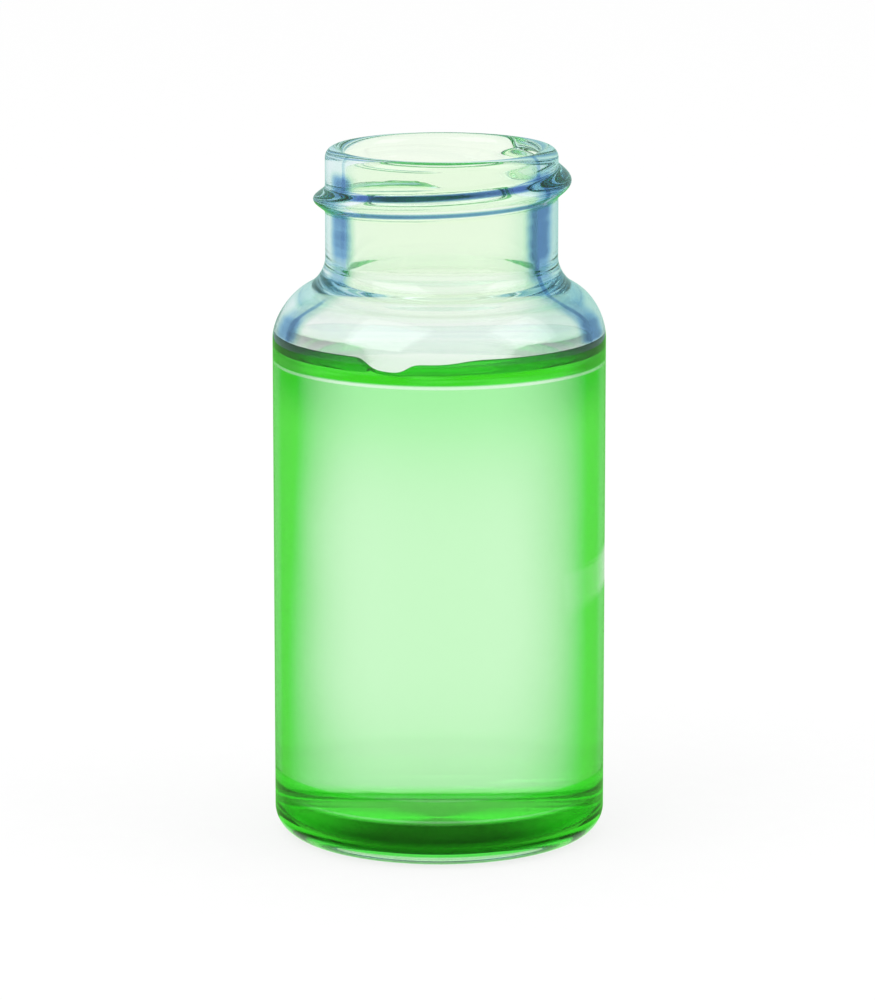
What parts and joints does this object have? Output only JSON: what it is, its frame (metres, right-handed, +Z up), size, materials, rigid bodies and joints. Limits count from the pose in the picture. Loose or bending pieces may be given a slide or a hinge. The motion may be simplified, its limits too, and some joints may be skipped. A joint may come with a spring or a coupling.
{
  "type": "glass sample vial",
  "caption": "Clear glass sample vial with a drawn-in shoulder, a screw-thread neck and a rounded rim, open at the mouth and holding a green liquid up to its shoulder.",
  "frame": {"origin": "centre of the ring that the vial stands on, at the height of its foot", "axes": "+Z up the vial's axis, out of the mouth; the thread's bead crosses the front, at -Y, rising from -X to +X"},
  "size_m": [0.028, 0.028, 0.0586],
  "materials": {
    "clear_glass": "clear fire-polished glass",
    "green_liquid": "clear green liquid"
  },
  "bodies": {
    "root": {"vial": "clear_glass", "liquid": "green_liquid"}
  },
  "joints": []
}
